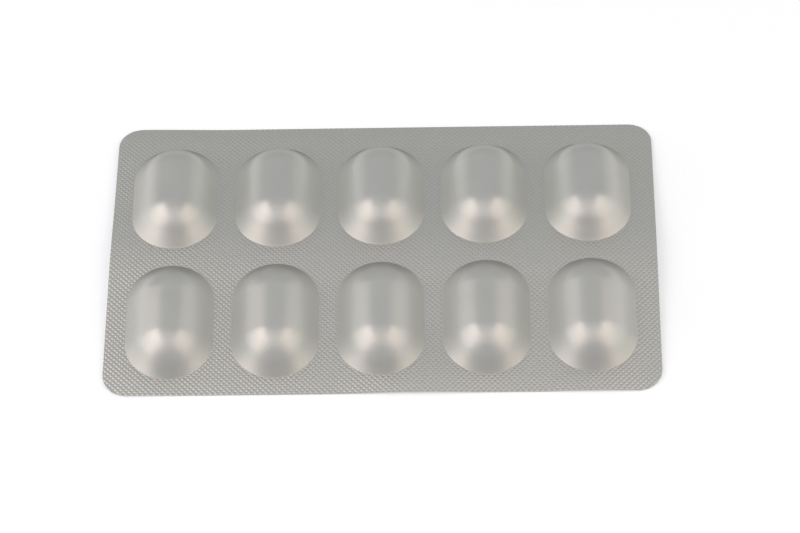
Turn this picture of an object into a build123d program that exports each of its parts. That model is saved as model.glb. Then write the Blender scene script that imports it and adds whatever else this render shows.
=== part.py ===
from build123d import *
import os
from math import atan2, cos, radians, sin, tan

# Driving dimensions, in millimetres and degrees

# One pocket, measured at the foot of its wall
pocket_width = 20.8
pocket_length = 32.2
pocket_depth = 7.1
wall_angle = 50.0
foot_ease = 0.45

# The field: one row of pockets on each half of the web, and the web left between them
pocket_columns = 5
column_gap = 4.2
row_gap = 5.15

# The sealed web of forming foil on lidding foil, and its cut outline around the field
web_thickness = 0.3
end_margin = 5.1
side_margin = 5.5
corner_radius = 5.8
field_shift_x = -0.5
field_shift_y = -0.9
field_turn = 0.45

# The curl of the pack: its middle stands off the ground, and bends between the two rows
bow_height = 2.5
bend_land = 0.1

# Sizes worked out from those above

column_pitch = pocket_width + column_gap
row_pitch = pocket_length + row_gap
pack_length = pocket_columns * column_pitch - column_gap + 2 * end_margin
pack_width = row_pitch + pocket_length + 2 * side_margin

half_width = pocket_width / 2
straight_half = (pocket_length - pocket_width) / 2
wall_sine = sin(radians(wall_angle))
wall_cosine = cos(radians(wall_angle))

# The crown is one arc, centred over the pocket, that runs tangent into the sloping wall
crown_radius = (half_width * wall_sine - pocket_depth * wall_cosine) / (1 - wall_cosine)
crown_centre = pocket_depth - crown_radius
shoulder_height = crown_centre + crown_radius * wall_cosine

# A wall is carried on into the web, to half of its thickness
root_depth = web_thickness / 2
root_spread = root_depth * wall_cosine / wall_sine

# Each half of the web is flat and leans down from the bend line to a long edge on the ground
bend_line = (field_shift_y, bow_height)
near_lean = atan2(bow_height, pack_width / 2 + field_shift_y)
far_lean = atan2(bow_height, pack_width / 2 - field_shift_y)

# The bend takes up the web between the rows, clear of the eased feet of the turned field
field_drift = pack_length / 2 * sin(radians(field_turn))
bend_reach = row_gap / 2 - foot_ease - field_drift - bend_land
bend_radius = bend_reach / tan((near_lean + far_lean) / 2)


def half_web(lean):
    """The top face of one half of the web, from the bend line, with Y along the unbent web."""
    upright = Vector(0, sin(lean), cos(lean))
    on_bend = Vector(0, *bend_line) + upright * web_thickness
    return Plane(origin=on_bend, x_dir=(1, 0, 0), z_dir=upright)


# The crown of a pocket: a capsule lying along the pocket, cut off level with the shoulder
with BuildPart() as crown:
    with Locations((0, 0, crown_centre)):
        Cylinder(crown_radius, 2 * straight_half, rotation=(90, 0, 0))
    with Locations((0, straight_half, crown_centre)):
        Sphere(crown_radius, arc_size3=180, rotation=(0, 90, 0), align=None)
    mirror(about=Plane.XZ)
    split(bisect_by=Plane.XY.offset(shoulder_height), keep=Keep.TOP)

# One pocket: a slot drawn up with sloping walls to the shoulder, and the crown on top of it
with BuildPart() as pocket:
    with BuildSketch(Plane.XY.offset(-root_depth)) as root_outline:
        SlotOverall(pocket_length + 2 * root_spread, pocket_width + 2 * root_spread, rotation=90)
    extrude(amount=root_depth + shoulder_height, taper=90 - wall_angle)
    add(crown.part)

# The pack: a bent web cut to a rounded outline, with two rows of pockets eased into it
with BuildPart() as blister_pack:
    with BuildSketch(Plane.YZ) as web_section:
        with BuildLine() as underside:
            FilletPolyline((-pack_width / 2, 0), bend_line, (pack_width / 2, 0), radius=bend_radius)
            offset(amount=web_thickness, side=Side.LEFT)
        make_face()
    extrude(amount=pack_length / 2, both=True)
    with BuildSketch(Plane.XY) as outline:
        RectangleRounded(pack_length, pack_width, corner_radius)
    extrude(amount=bow_height + 2 * web_thickness, mode=Mode.INTERSECT)
    for lean, row in ((-near_lean, -row_pitch / 2), (far_lean, row_pitch / 2)):
        with Locations(half_web(lean).location * Location((field_shift_x, 0, 0), (0, 0, field_turn))):
            with Locations((0, row)):
                with GridLocations(column_pitch, row_pitch, pocket_columns, 1):
                    add(pocket.part)
    web_tops = blister_pack.faces().filter_by(lambda face: len(face.inner_wires()) > 0)
    chamfer([wire.edges() for face in web_tops for wire in face.inner_wires()], length=foot_ease)

blister_pack.part.label = "blister_pack"

os.makedirs("parts", exist_ok=True)
export_step(blister_pack.part, "parts/blister_pack.step")
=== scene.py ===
# %% [markdown]
# # A cold-formed pill blister pack
# The pack is two aluminium foils sealed face to face. The upper one, the forming foil, was pressed
# cold into ten long domed pockets. The lower one, the lidding foil, closes them. A sealing plate
# with a cross-hatch knurl pressed the two together everywhere between the pockets.
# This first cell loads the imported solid, which is the frame that every piece has to fit.

# %% Load the frame
import bmesh
import bpy
import math
import numpy as np
from itertools import compress
from mathutils import Matrix, Vector


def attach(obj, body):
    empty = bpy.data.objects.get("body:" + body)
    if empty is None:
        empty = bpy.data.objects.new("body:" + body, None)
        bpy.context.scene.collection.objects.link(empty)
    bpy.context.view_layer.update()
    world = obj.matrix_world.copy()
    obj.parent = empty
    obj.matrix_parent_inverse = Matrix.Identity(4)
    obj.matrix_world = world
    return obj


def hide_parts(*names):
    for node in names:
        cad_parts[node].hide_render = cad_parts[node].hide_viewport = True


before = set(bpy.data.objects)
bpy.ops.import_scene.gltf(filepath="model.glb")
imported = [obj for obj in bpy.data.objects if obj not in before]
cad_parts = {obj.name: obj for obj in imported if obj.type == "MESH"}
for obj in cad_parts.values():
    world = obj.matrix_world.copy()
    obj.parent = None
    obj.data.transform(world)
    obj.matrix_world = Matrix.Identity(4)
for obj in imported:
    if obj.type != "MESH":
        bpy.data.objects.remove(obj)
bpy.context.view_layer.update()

MM = 0.001

# %% [markdown]
# ## Sizes
# The sizes are those of the solid, in metres, so that the visible foils lie where the solid lies.
# The knurl's pitch is measured from ridge to ridge. The pack is bowed: the web between the two rows
# stands higher than the long edges, and each half leans down from there.

# %% Sizes
pack_length, pack_width, corner_radius = 131.0 * MM, 80.55 * MM, 5.8 * MM
pocket_half_width, pocket_depth, pocket_straight = 10.4 * MM, 7.1 * MM, 11.4 * MM
column_count, row_count = 5, 2
column_pitch, row_pitch = 25.0 * MM, 37.35 * MM
field_shift = Vector((-0.5 * MM, -0.9 * MM, 0))
field_turn = math.radians(0.45)
bow_height = 2.5 * MM
knurl_pitch, knurl_top, knurl_relief = 0.925 * MM, 0.34 * MM, 0.115 * MM
lid_thickness, lid_relief = 0.10 * MM, 0.07 * MM

# The forming foil's back lies just clear of the lidding foil
forming_back = 1.05 * lid_thickness

# %% [markdown]
# ## Helpers for working on points
# By hand, points are picked with the mouse. In code they are picked by where they are. Two helpers
# list a mesh's points as rows of x, y and z, one of them for a mesh that is open for editing. The
# others open a mesh, select the wanted points of the one that is open, and close it.

# %% Helpers for points
def points_of(piece):
    """The points of a mesh, one row of x, y and z for each."""
    numbers = np.empty(3 * len(piece.data.vertices))
    piece.data.vertices.foreach_get("co", numbers)
    return numbers.reshape(-1, 3)


def points_of_open(piece):
    """The points of the mesh that is open, one row of x, y and z for each."""
    return np.array([point.co for point in bmesh.from_edit_mesh(piece.data).verts])


def open_mesh(piece):
    """Opens one mesh in edit mode, with nothing else selected."""
    bpy.ops.object.select_all(action="DESELECT")
    bpy.context.view_layer.objects.active = piece
    piece.select_set(True)
    bpy.ops.object.mode_set(mode="EDIT")
    bpy.ops.mesh.select_mode(type="VERT")


def pick(piece, wanted):
    """Selects only the wanted points of the mesh that is open."""
    bpy.ops.mesh.select_all(action="DESELECT")
    mesh = bmesh.from_edit_mesh(piece.data)
    for point in compress(mesh.verts, wanted):
        point.select = True
    mesh.select_flush(True)


def close_mesh():
    """Leaves edit mode."""
    bpy.ops.object.mode_set(mode="OBJECT")


bpy.ops.object.select_all(action="DESELECT")

# %% [markdown]
# ## The knurled sheet
# The sealing plate leaves a lattice of fine ridges with a four-sided pit in each square. A texture
# could imitate them, but real facets catch the light of each lamp on their own side, so they are
# modelled. A grid is added whose lines are the ridges, and each of its faces is poked, which gives
# it a middle point, and that point is pressed in. The rim is then drawn to the back and closed,
# which makes the sheet a solid that booleans can cut.

# %% Knurled sheet
knurl_turn = math.radians(45) + field_turn
spare_squares = 2


def knurled_sheet(name, face_level, back_level, relief):
    """A square sheet with a knurled face at one level and a flat back at another."""
    bpy.ops.object.select_all(action="DESELECT")

    # Turned to lie cornerwise, the square has to reach past the corners of the outline
    reach = (pack_length + pack_width) / math.sqrt(2)
    squares = math.ceil(reach / knurl_pitch) + spare_squares
    bpy.ops.mesh.primitive_grid_add(
        x_subdivisions=squares,
        y_subdivisions=squares,
        size=squares * knurl_pitch,
        location=(0, 0, face_level),
    )
    sheet = bpy.context.object
    sheet.name = sheet.data.name = name
    bpy.ops.object.transform_apply(location=True)
    open_mesh(sheet)
    bpy.ops.mesh.select_all(action="SELECT")
    bpy.ops.mesh.poke(offset=-relief)
    bpy.ops.mesh.select_all(action="SELECT")
    bpy.ops.mesh.region_to_loop()
    bpy.ops.mesh.extrude_edges_move()
    bpy.ops.transform.resize(value=(1, 1, 0), center_override=(0, 0, back_level))
    bpy.ops.mesh.edge_face_add()
    bpy.ops.mesh.select_all(action="SELECT")
    bpy.ops.mesh.normals_make_consistent(inside=False)
    close_mesh()
    sheet.rotation_euler.z = knurl_turn
    bpy.ops.object.transform_apply(rotation=True)
    return sheet


forming_foil = knurled_sheet("forming_foil", knurl_top, forming_back, knurl_relief)
print("Forming foil sheet:", len(forming_foil.data.polygons), "faces")

# %% [markdown]
# ## Profile of a pocket
# A pocket is a round-ended trough turned upside down: a crowned top, a wall that is steepest under
# the crown and eases a little on its way down, as drawn foil does, and a small round where it runs
# out into the web. Its profile is three arcs that run into each other. The radii of crown and wall
# follow from the pocket's width and depth.

# %% Profile of the pocket
shoulder, foot = math.radians(54), math.radians(41)
foot_radius, ring_half_width = 0.35 * MM, 10.8 * MM
crown_points, wall_points, foot_points = 15, 7, 7

outward = [math.sin(shoulder), math.sin(shoulder) - math.sin(foot)]
downward = [1 - math.cos(shoulder), math.cos(foot) - math.cos(shoulder)]
crown_radius, wall_radius = np.linalg.solve(
    [outward, downward], [pocket_half_width, pocket_depth]
)
wall_out = pocket_half_width + wall_radius * math.sin(foot)
wall_down = wall_radius * math.cos(foot)
foot_out = pocket_half_width + foot_radius * math.tan(foot / 2)

profile = [
    (crown_radius * math.sin(turn), pocket_depth - crown_radius * (1 - math.cos(turn)))
    for turn in np.linspace(0, shoulder, crown_points)
]
profile += [
    (wall_out - wall_radius * math.sin(turn), wall_down - wall_radius * math.cos(turn))
    for turn in np.linspace(shoulder, foot, wall_points)[1:-1]
]
profile += [
    (foot_out - foot_radius * math.sin(turn), foot_radius * (1 - math.cos(turn)))
    for turn in np.linspace(foot, 0, foot_points)
]
profile += [(ring_half_width, 0.0)]
print("Pocket profile:", len(profile), "points")
print("Crown radius", round(crown_radius / MM, 2), "mm")
print("Wall radius", round(wall_radius / MM, 1), "mm")

# %% [markdown]
# ## One pocket
# The profile is the same all the way round. It is drawn by extruding a single point, spun half a
# turn for one end, pulled straight along the side, spun for the other end and pulled back. This
# leaves even faces that follow the form, which a reflecting foil needs. The rim is drawn down a
# little and closed, so that the pocket is a solid that can be joined to the sheet.

# %% Pocket
ring_level, rim_drop = 0.27 * MM, 0.1 * MM
spin_steps, straight_steps = 32, 8
weld_distance = 0.002 * MM

bpy.ops.mesh.primitive_plane_add(size=MM, location=(0, 0, 0))
pocket = bpy.context.object
pocket.name = pocket.data.name = "pocket"
bpy.ops.object.mode_set(mode="EDIT")
bpy.ops.mesh.merge(type="CENTER")
bpy.ops.transform.translate(value=(0, pocket_straight / 2, ring_level + profile[0][1]))
for (r0, z0), (r1, z1) in zip(profile, profile[1:]):
    bpy.ops.mesh.extrude_vertices_move(TRANSFORM_OT_translate={"value": (r1 - r0, 0, z1 - z0)})
bpy.ops.mesh.select_all(action="SELECT")
for end in (1, -1):
    bpy.ops.mesh.spin(
        steps=spin_steps,
        angle=math.pi,
        center=(0, end * pocket_straight / 2, 0),
        axis=(0, 0, -1),
    )
    for _ in range(straight_steps):
        bpy.ops.mesh.extrude_edges_move(
            TRANSFORM_OT_translate={"value": (0, -end * pocket_straight / straight_steps, 0)}
        )
bpy.ops.mesh.select_all(action="SELECT")
bpy.ops.mesh.remove_doubles(threshold=weld_distance)
bpy.ops.mesh.select_all(action="SELECT")
bpy.ops.mesh.region_to_loop()
bpy.ops.mesh.extrude_edges_move(TRANSFORM_OT_translate={"value": (0, 0, -rim_drop)})
bpy.ops.mesh.edge_face_add()
bpy.ops.mesh.select_all(action="SELECT")
bpy.ops.mesh.normals_make_consistent(inside=False)
close_mesh()
print("Pocket:", len(pocket.data.polygons), "faces")
print("It measures", [round(d / MM, 2) for d in pocket.dimensions], "mm")

# %% [markdown]
# ## Ten pockets
# The forming die pressed all ten alike, so two arrays copy the one pocket: five columns and two
# rows. The web was cut a little out of line with the die, so the field is shifted and turned in the
# outline.

# %% Field of pockets
mid_column, mid_row = (column_count - 1) / 2, (row_count - 1) / 2
copies = ((column_count, (column_pitch, 0, 0)), (row_count, (0, row_pitch, 0)))
for count, offset in copies:
    array = pocket.modifiers.new("copies", "ARRAY")
    array.count = count
    array.use_relative_offset = False
    array.use_constant_offset = True
    array.constant_offset_displace = offset
    bpy.ops.object.modifier_apply(modifier=array.name)
open_mesh(pocket)
bpy.ops.mesh.select_all(action="SELECT")
bpy.ops.transform.translate(value=(-mid_column * column_pitch, -mid_row * row_pitch, 0))
close_mesh()
pocket.rotation_euler.z = field_turn
pocket.location = field_shift
bpy.ops.object.transform_apply(location=True, rotation=True)
print("Field:", [round(d / MM, 2) for d in pocket.dimensions], "mm")

# %% [markdown]
# ## Cutting the outline
# The finished web was punched out of the strip, so the outline cuts straight through the knurl. A
# box with its four upright edges bevelled round is the punch, and the sheet keeps what lies inside
# it.

# %% Punch
punch_height, corner_segments = 4 * MM, 12

bpy.ops.object.select_all(action="DESELECT")
bpy.ops.mesh.primitive_cube_add(size=1)
punch = bpy.context.object
punch.name = "punch"
punch.scale = (pack_length, pack_width, punch_height)
bpy.ops.object.transform_apply(scale=True)
open_mesh(punch)
bpy.ops.mesh.select_mode(type="EDGE")
bpy.ops.mesh.select_all(action="DESELECT")
for edge in bmesh.from_edit_mesh(punch.data).edges:
    edge.select = abs(edge.verts[0].co.z - edge.verts[1].co.z) > punch_height / 2
bpy.ops.mesh.bevel(offset=corner_radius, segments=corner_segments, affect="EDGES")
close_mesh()


def boolean(piece, tool, operation):
    """Cuts a solid with a tool, or joins the two, and applies it."""
    bpy.ops.object.select_all(action="DESELECT")
    bpy.context.view_layer.objects.active = piece
    cut = piece.modifiers.new(operation.lower(), "BOOLEAN")
    cut.object, cut.operation, cut.solver = tool, operation, "MANIFOLD"
    bpy.ops.object.modifier_apply(modifier=cut.name)


boolean(forming_foil, punch, "INTERSECT")
boolean(forming_foil, pocket, "UNION")
print("Forming foil:", len(forming_foil.data.polygons), "faces")

# %% [markdown]
# ## The lidding foil
# Underneath lies the lidding foil. The same knurl shows on it, more weakly, wherever it is sealed.
# Over the pockets nothing pressed it, and it stays smooth and flat there. It is the same sheet
# turned to face down, with the points over each pocket levelled.

# %% Lidding foil
face_limit = 0.95 * lid_thickness
smooth_level = 0.3 * lid_relief

lidding_foil = knurled_sheet("lidding_foil", 0, lid_thickness, -lid_relief)
flat = points_of(lidding_foil)
cosine, sine = math.cos(field_turn), math.sin(field_turn)
over_pocket = np.zeros(len(flat), bool)
for column in range(column_count):
    for row in range(row_count):
        u, v = (column - mid_column) * column_pitch, (row - mid_row) * row_pitch
        x = flat[:, 0] - (u * cosine - v * sine + field_shift.x)
        y = flat[:, 1] - (u * sine + v * cosine + field_shift.y)
        beyond = np.maximum(np.abs(y) - pocket_straight / 2, 0)
        over_pocket |= np.hypot(x, beyond) < ring_half_width
open_mesh(lidding_foil)
pick(lidding_foil, over_pocket & (flat[:, 2] < face_limit))
bpy.ops.transform.resize(value=(1, 1, 0), center_override=(0, 0, smooth_level))
close_mesh()
boolean(lidding_foil, punch, "INTERSECT")
print("Lidding foil:", len(lidding_foil.data.polygons), "faces")

# %% [markdown]
# ## Bending the pack
# The foils spring back after sealing and leave the pack bowed across its width. By hand one would
# turn the part beyond a line about that line, a little at a time, line after line. The lines go
# from the edges inwards, so that each line still lies where it was on the flat sheet when its turn
# comes. The plain backs are divided first, along those lines and into cells of 6 mm, so that they
# can follow.

# %% Bend
near_lean = math.atan2(bow_height, pack_width / 2 + field_shift.y)
far_lean = math.atan2(bow_height, pack_width / 2 - field_shift.y)
bend_half_span, bend_steps = 6.0 * MM, 6
curl_lean, curl_span, curl_steps = math.radians(3), 5.0 * MM, 4
cells_across, cells_along = np.arange(-36, 37, 6) * MM, np.arange(-60, 61, 6) * MM

# A face larger than this is part of a plain back, and not a facet of the knurl
plain_area = 4 * knurl_pitch**2

bend_lines = []
for side, lean in ((1, far_lean), (-1, near_lean)):
    for k in range(curl_steps):
        line = side * (pack_width / 2 - (k + 0.5) * curl_span / curl_steps)
        bend_lines.append((side, line, curl_lean / curl_steps))
    for k in reversed(range(bend_steps)):
        line = field_shift.y + side * (k + 0.5) * bend_half_span / bend_steps
        bend_lines.append((side, line, lean / bend_steps))


def bend(piece):
    """Bends a flat foil along all the lines, after dividing its back along them and crosswise."""
    open_mesh(piece)
    cuts = [((0, line, 0), (0, 1, 0)) for side, line, turn in bend_lines]
    cuts += [((0, line, 0), (0, 1, 0)) for line in cells_across]
    cuts += [((line, 0, 0), (1, 0, 0)) for line in cells_along]
    for on_cut, normal in cuts:
        bpy.ops.mesh.select_all(action="DESELECT")
        for face in bmesh.from_edit_mesh(piece.data).faces:
            if face.calc_area() > plain_area:
                face.select = True
        bpy.ops.mesh.bisect(plane_co=on_cut, plane_no=normal)
    flat_y = points_of_open(piece)[:, 1]
    for side, line, turn in bend_lines:
        pick(piece, side * (flat_y - line) > 0)
        bpy.ops.transform.rotate(
            value=side * turn, orient_axis="X", center_override=(0, line, 0)
        )
    close_mesh()


for foil in (forming_foil, lidding_foil):
    bend(foil)
    heights = points_of(foil)[:, 2] / MM
    print(foil.name, "bent, z from", round(heights.min(), 2), "to", round(heights.max(), 2), "mm")

# %% [markdown]
# ## Handling
# Foil as thin as this keeps the marks of handling: the front edge is pushed up a little in three
# places, and one corner at the back stands up. By hand one would pull at a point with proportional
# editing on, so that what lies around it follows more weakly the further off it is.

# %% Handling
pinch = 2 * MM

# Each lift's x and y, its height and how far it reaches, all in millimetres
lifts = [(-62, 38, 0.45, 24), (8, -40, 0.55, 18), (50, -40, 0.35, 12), (-58, -40, 0.25, 12)]
for foil in (forming_foil, lidding_foil):
    open_mesh(foil)
    for x, y, lift, reach in lifts:
        points = points_of_open(foil)
        pick(foil, np.hypot(points[:, 0] - x * MM, points[:, 1] - y * MM) < pinch)
        bpy.ops.transform.translate(
            value=(0, 0, lift * MM),
            use_proportional_edit=True,
            proportional_edit_falloff="SMOOTH",
            proportional_size=reach * MM,
        )
    close_mesh()
    print(foil.name, "lifted in", len(lifts), "places")

# %% [markdown]
# ## Settling and shading
# The bent pack lies on its long edges, so both foils come down by the same height until the lowest
# point touches the ground. Shading is smooth across the soft curves of the pockets and flat on the
# facets of the knurl, which meet at sharper angles. The pocket field and the punch are then put
# away.

# %% Settle on the ground
smooth_angle = math.radians(11)

lowest = points_of(lidding_foil)[:, 2].min()
for foil in (forming_foil, lidding_foil):
    open_mesh(foil)
    bpy.ops.mesh.select_all(action="SELECT")
    bpy.ops.transform.translate(value=(0, 0, -lowest))
    close_mesh()
    bpy.ops.object.shade_smooth_by_angle(angle=smooth_angle)
for tool in (pocket, punch):
    bpy.data.objects.remove(tool)
print("Both foils moved by", round(-lowest / MM, 2), "mm")

# %% [markdown]
# ## Materials
# Both foils are aluminium, and a foil shows mostly what it mirrors. A material for it needs little
# colour, and a roughness that decides how sharp the mirrored lamps are. Two helpers come first: one
# turns a colour as a designer writes it into the linear light that Blender reckons with, and one
# adds a node together with its settings and links.

# %% Material helpers
def linear(code):
    """An sRGB hex colour as linear red, green, blue and alpha."""
    parts = [int(code[i : i + 2], 16) / 255 for i in (1, 3, 5)]
    return [p / 12.92 if p <= 0.04045 else ((p + 0.055) / 1.055) ** 2.4 for p in parts] + [1.0]


def node(tree, kind, inputs, **settings):
    """Adds a node with its settings, and its inputs as values or as links from other nodes."""
    made = tree.nodes.new(kind)
    for name, value in settings.items():
        setattr(made, name, value)
    for socket, value in inputs.items():
        if isinstance(value, bpy.types.NodeSocket):
            tree.links.new(value, made.inputs[socket])
        else:
            made.inputs[socket].default_value = value
    return made


# Kinds of node that are used more than once
MATHS, MIX, NOISE = "ShaderNodeMath", "ShaderNodeMix", "ShaderNodeTexNoise"
RAMP, SPLIT = "ShaderNodeMapRange", "ShaderNodeSeparateXYZ"

# %% [markdown]
# ## Foil finishes
# The forming foil is soft aluminium between plastic films, with a satin sheen. Rolling left faint
# streaks along it. Where it was drawn down the side of a pocket it stretched: the metal turned
# matt, and along the long sides the outer film turned a little milky, so that they mirror less and
# take their tone from the lamps. They are also painted a shade cooler, which takes out the warmth of
# the lamps' light on them. The slope of the surface tells the walls from the rest, which saves
# painting by hand. The web is painted a shade darker for the shade in its knurl, and its height
# tells it from the crowns. Slow mottling of the film keeps a large face from looking like one flat
# colour.
# The lidding foil is hard aluminium with a matt lacquer. It faces down, so the same slope makes all
# of it matt, and one recipe serves both.

# %% Foil finishes
mottle_size, mottle_sheen = 7 * MM, 0.08
streak_gap, streak_share = 0.6 * MM, 0.6
bump_height = 0.003 * MM
painted_cool_cast, edge_tint = "#FBFFFF", "#818181"


def foil_finish(name, colours, painted_web_shade, mirror, veiled, satin, matt, streaks, grain_size):
    """Rolled aluminium foil: mottled film, rolling streaks, and a grain where it is matt."""
    look = bpy.data.materials.new(name)
    look.use_nodes = True
    tree = look.node_tree
    place = node(tree, "ShaderNodeTexCoord", {}).outputs["Object"]
    facing = node(tree, "ShaderNodeNewGeometry", {}).outputs["Normal"]
    facing = node(tree, SPLIT, {"Vector": facing}).outputs

    # Matt starts at slopes of about 11 degrees and is full at 37 degrees
    steep = {"Value": facing["Z"], "From Min": 0.98, "From Max": 0.80}
    drawn = node(tree, RAMP, steep, interpolation_type="SMOOTHSTEP").outputs["Result"]

    # The film's veil and the painted cool cast are on the long sides alone. They start at slopes of
    # about
    # 17 degrees and are full at 45 degrees
    aside = node(tree, MATHS, {0: facing["X"]}, operation="ABSOLUTE").outputs[0]
    aside = {"Value": aside, "From Min": 0.30, "From Max": 0.70}
    veil_and_cool_cast = node(tree, RAMP, aside, interpolation_type="SMOOTHSTEP").outputs["Result"]

    # The film mottles in slow patches, which change the colour and the sheen a little
    patches = {"Vector": place, "Scale": 1 / mottle_size, "Detail": 3.0}
    mottle = node(tree, NOISE, patches).outputs["Fac"]
    tones = {0: mottle, 6: linear(colours[0]), 7: linear(colours[1])}
    colour = node(tree, MIX, tones, data_type="RGBA").outputs[2]

    # Painted knurl shade: all under 3 mm is painted a shade darker, and nothing above 5.5 mm
    level = node(tree, SPLIT, {"Vector": place}).outputs["Z"]
    level = {"Value": level, "From Min": 5.5 * MM, "From Max": 3.0 * MM}
    web_shaded = node(tree, RAMP, level, interpolation_type="SMOOTHSTEP").outputs["Result"]
    tones = {0: web_shaded, 6: colour, 7: linear(painted_web_shade)}
    colour = node(tree, MIX, tones, data_type="RGBA").outputs[2]

    # Painted cool cast: the long sides are painted a shade cooler, to take out the lamps' warm light
    tones = {0: veil_and_cool_cast, 6: colour, 7: linear(painted_cool_cast)}
    colour = node(tree, MIX, tones, data_type="RGBA", blend_type="MULTIPLY").outputs[2]

    # The sheen goes from satin to matt, and up and down a little with the mottling
    sheen = {0: drawn, 1: matt - satin, 2: satin - mottle_sheen / 2}
    sheen = node(tree, MATHS, sheen, operation="MULTIPLY_ADD").outputs[0]
    sheen = {0: mottle, 1: mottle_sheen, 2: sheen}
    sheen = node(tree, MATHS, sheen, operation="MULTIPLY_ADD").outputs[0]

    # Rolling streaks are really under 0.05 mm apart, and are drawn further apart so that they show
    run = node(tree, "ShaderNodeMapping", {"Vector": place, "Scale": streaks}).outputs["Vector"]
    streak = {"Vector": run, "Scale": 1 / streak_gap, "Detail": 2.0}
    streak = node(tree, NOISE, streak).outputs["Fac"]
    grain = {"Vector": place, "Scale": 1 / grain_size, "Detail": 2.0}
    grain = node(tree, NOISE, grain).outputs["Fac"]
    pitted = node(tree, MATHS, {0: grain, 1: drawn}, operation="MULTIPLY").outputs[0]
    height = {0: streak, 1: streak_share, 2: pitted}
    height = node(tree, MATHS, height, operation="MULTIPLY_ADD").outputs[0]
    relief = {"Height": height, "Strength": 1.0, "Distance": bump_height}
    bump = node(tree, "ShaderNodeBump", relief).outputs["Normal"]

    # The veil mirrors less than the bare metal
    metal = {0: veil_and_cool_cast, 1: veiled - mirror, 2: mirror}
    metal = node(tree, MATHS, metal, operation="MULTIPLY_ADD").outputs[0]

    shader = tree.nodes["Principled BSDF"]
    shader.inputs["Specular Tint"].default_value = linear(edge_tint)
    tree.links.new(metal, shader.inputs["Metallic"])
    tree.links.new(colour, shader.inputs["Base Color"])
    tree.links.new(sheen, shader.inputs["Roughness"])
    tree.links.new(bump, shader.inputs["Normal"])
    return look


# Satin cold-formed laminate: a soft grey mirror on the crowns, painted a shade darker on the web
# for the shade in its knurl, and matt on the walls
satin_laminate = foil_finish(
    "satin_aluminium_laminate",
    colours=("#D1D0CD", "#D7D6D4"),
    painted_web_shade="#CDCCC9",
    mirror=0.75,
    veiled=0.40,
    satin=0.32,
    matt=0.45,
    streaks=(1, 0.05, 1),
    grain_size=0.5 * MM,
)
# Hard matt lidding foil: paler, and dull enough that it mirrors nothing sharply
# It lies wholly under 3 mm, so all of it takes the web colour, which is its own first tone
matt_lidding = foil_finish(
    "matt_lidding_aluminium",
    colours=("#D3D3D2", "#D9D9D8"),
    painted_web_shade="#D3D3D2",
    mirror=0.75,
    veiled=0.40,
    satin=0.40,
    matt=0.52,
    streaks=(0.05, 1, 1),
    grain_size=0.35 * MM,
)
for foil, look in ((forming_foil, satin_laminate), (lidding_foil, matt_lidding)):
    foil.data.materials.clear()
    foil.data.materials.append(look)
    print(foil.name, "is", look.name, "with", len(look.node_tree.nodes), "nodes")

# %% [markdown]
# ## Belonging to the solid
# The imported solid stays for weight and contact, and the two foils are what is seen in its place.
# The pack has one body, so both foils ride on it.

# %% Riding
for foil in (forming_foil, lidding_foil):
    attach(foil, "root")
    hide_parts("blister_pack")

# %% [markdown]
# ## Floor
# The pack lies on white card. The lamps are warm, so the card is a shade cool to come out neutral,
# and a weak glow lifts it to white. Only the camera and what mirrors the card see the glow, so that
# it adds no light to the foil, and the card still takes the pack's shadow.

# %% Floor
floor_size, glow_strength = 6.0, 0.24

bpy.ops.object.select_all(action="DESELECT")
bpy.ops.mesh.primitive_plane_add(size=floor_size)
floor = bpy.context.object
floor.name = "floor"
card = bpy.data.materials.new("white_card")
card.use_nodes = True
card_tree = card.node_tree
card_shader = card_tree.nodes["Principled BSDF"]
card_shader.inputs["Base Color"].default_value = linear("#F6F9FF")
card_shader.inputs["Roughness"].default_value = 1.0
card_shader.inputs["Specular IOR Level"].default_value = 0.0
ray = node(card_tree, "ShaderNodeLightPath", {}).outputs
seen = ray["Is Camera Ray"]
for other in (ray["Is Glossy Ray"], ray["Is Transmission Ray"]):
    seen = node(card_tree, MATHS, {0: seen, 1: other}, operation="MAXIMUM").outputs[0]
lift = node(card_tree, MATHS, {0: seen, 1: glow_strength}, operation="MULTIPLY").outputs[0]
glow = node(card_tree, "ShaderNodeEmission", {"Strength": lift}).outputs["Emission"]
both = node(card_tree, "ShaderNodeAddShader", {0: card_shader.outputs["BSDF"], 1: glow})
card_output = card_tree.nodes["Material Output"]
card_tree.links.new(both.outputs["Shader"], card_output.inputs["Surface"])
floor.data.materials.append(card)
print("The floor is", card.name)

# %% [markdown]
# ## Room light
# The room is a world that is lightest above and behind the pack and darkest in front and below. The
# crowns mirror its light part, and the front ends of the pockets its dark part, which gives each of
# them a dark spot.

# %% Room light
lightest = Vector((0, 0.57, 0.82))
room_darkest, room_lightest = 0.25, 0.495

room = bpy.data.worlds.new("room")
bpy.context.scene.world = room
room.use_nodes = True
room_tree = room.node_tree
direction = node(room_tree, "ShaderNodeTexCoord", {}).outputs["Generated"]
towards = {0: direction, 1: lightest}
towards = node(room_tree, "ShaderNodeVectorMath", towards, operation="DOT_PRODUCT")
spread = {"Value": towards.outputs["Value"], "From Min": -1.0}
spread.update({"To Min": room_darkest, "To Max": room_lightest})
spread = node(room_tree, RAMP, spread).outputs["Result"]
backdrop = room_tree.nodes["Background"]
backdrop.inputs["Color"].default_value = linear("#F7FDFF")
room_tree.links.new(spread, backdrop.inputs["Strength"])
print("The room's light goes from", room_darkest, "to", room_lightest)

# %% [markdown]
# ## Softboxes
# Two large warm softboxes stand to the left and right, the left one stronger, and two weak ones
# hang above. The front end of each pocket mirrors all four as a broad highlight with two lighter
# lobes, which is what shows its form. The lamps are large and near, so that nothing they light has
# a hard edge.

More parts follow.
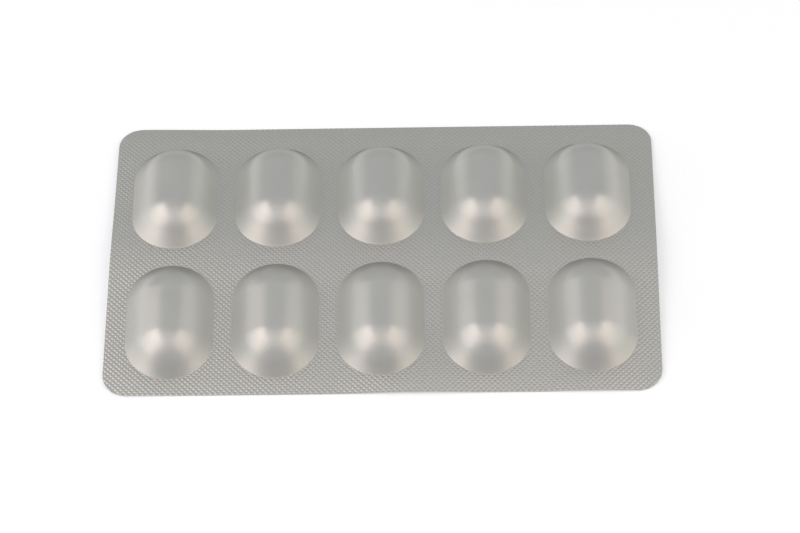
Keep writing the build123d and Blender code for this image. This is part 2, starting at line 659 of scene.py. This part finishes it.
# %% Softboxes
def softbox(name, azimuth, elevation, distance, width, height, power, tint):
    """A rectangular soft lamp that faces the pack. Azimuth 0 is behind it and 90 to its right."""
    a, e = math.radians(azimuth), math.radians(elevation)
    lamp = bpy.data.lights.new(name, "AREA")
    lamp.shape, lamp.size, lamp.size_y, lamp.energy = "RECTANGLE", width, height, power
    lamp.color = linear(tint)[:3]
    held = bpy.data.objects.new(name, lamp)
    away = Vector((math.sin(a) * math.cos(e), math.cos(a) * math.cos(e), math.sin(e)))
    held.location = away * distance
    held.rotation_euler = away.to_track_quat("Z", "Y").to_euler()
    bpy.context.scene.collection.objects.link(held)
    print(name, "gives", power, "W")


# Angles are in degrees, then come distance, width and height in metres, the power and the tint
softbox("left_softbox", -100, 33, 0.8, 0.95, 0.95, 3.66, "#FFF1E9")
softbox("right_softbox", 100, 33, 0.8, 0.95, 0.95, 2.70, "#FFEDDB")
softbox("overhead_softbox", 180, 88, 0.9, 1.2, 0.35, 0.32, "#FFF4E8")
softbox("front_softbox", 180, 66, 0.9, 1.0, 0.40, 0.42, "#FFEFE5")

# %% [markdown]
# ## Camera
# The camera stands where the photograph was taken from: in front, looking down at about 52 degrees,
# turned and rolled by under three degrees, through a long lens that keeps the sides almost
# parallel.

# %% Camera
el, yaw, roll = (math.radians(v) for v in (52.4186, -2.6848, -2.8528))
distance, aim_x, aim_y, aim_height = 811.05 * MM, -4.060 * MM, 3.889 * MM, 2.71 * MM
focal_length, sensor_width = 152.34, 36.0

forward = Vector((math.sin(yaw) * math.cos(el), math.cos(yaw) * math.cos(el), -math.sin(el)))
level = Vector((math.cos(yaw), -math.sin(yaw), 0))
upright = level.cross(forward)
right = level * math.cos(roll) + upright * math.sin(roll)
up = upright * math.cos(roll) - level * math.sin(roll)
standpoint = Vector((0, 0, aim_height)) - aim_x * right - aim_y * up - distance * forward
turned = Matrix((right, up, -forward)).transposed().to_4x4()

camera = bpy.data.objects.new("camera", bpy.data.cameras.new("camera"))
camera.data.lens = focal_length
camera.data.sensor_width, camera.data.sensor_fit = sensor_width, "HORIZONTAL"
camera.data.clip_start, camera.data.clip_end = 0.01, 20.0
camera.matrix_world = Matrix.Translation(standpoint) @ turned
bpy.context.scene.collection.objects.link(camera)
bpy.context.scene.camera = camera
bpy.context.scene.view_settings.view_transform = "Standard"
print("Camera at", [round(c / MM) for c in standpoint], "mm")
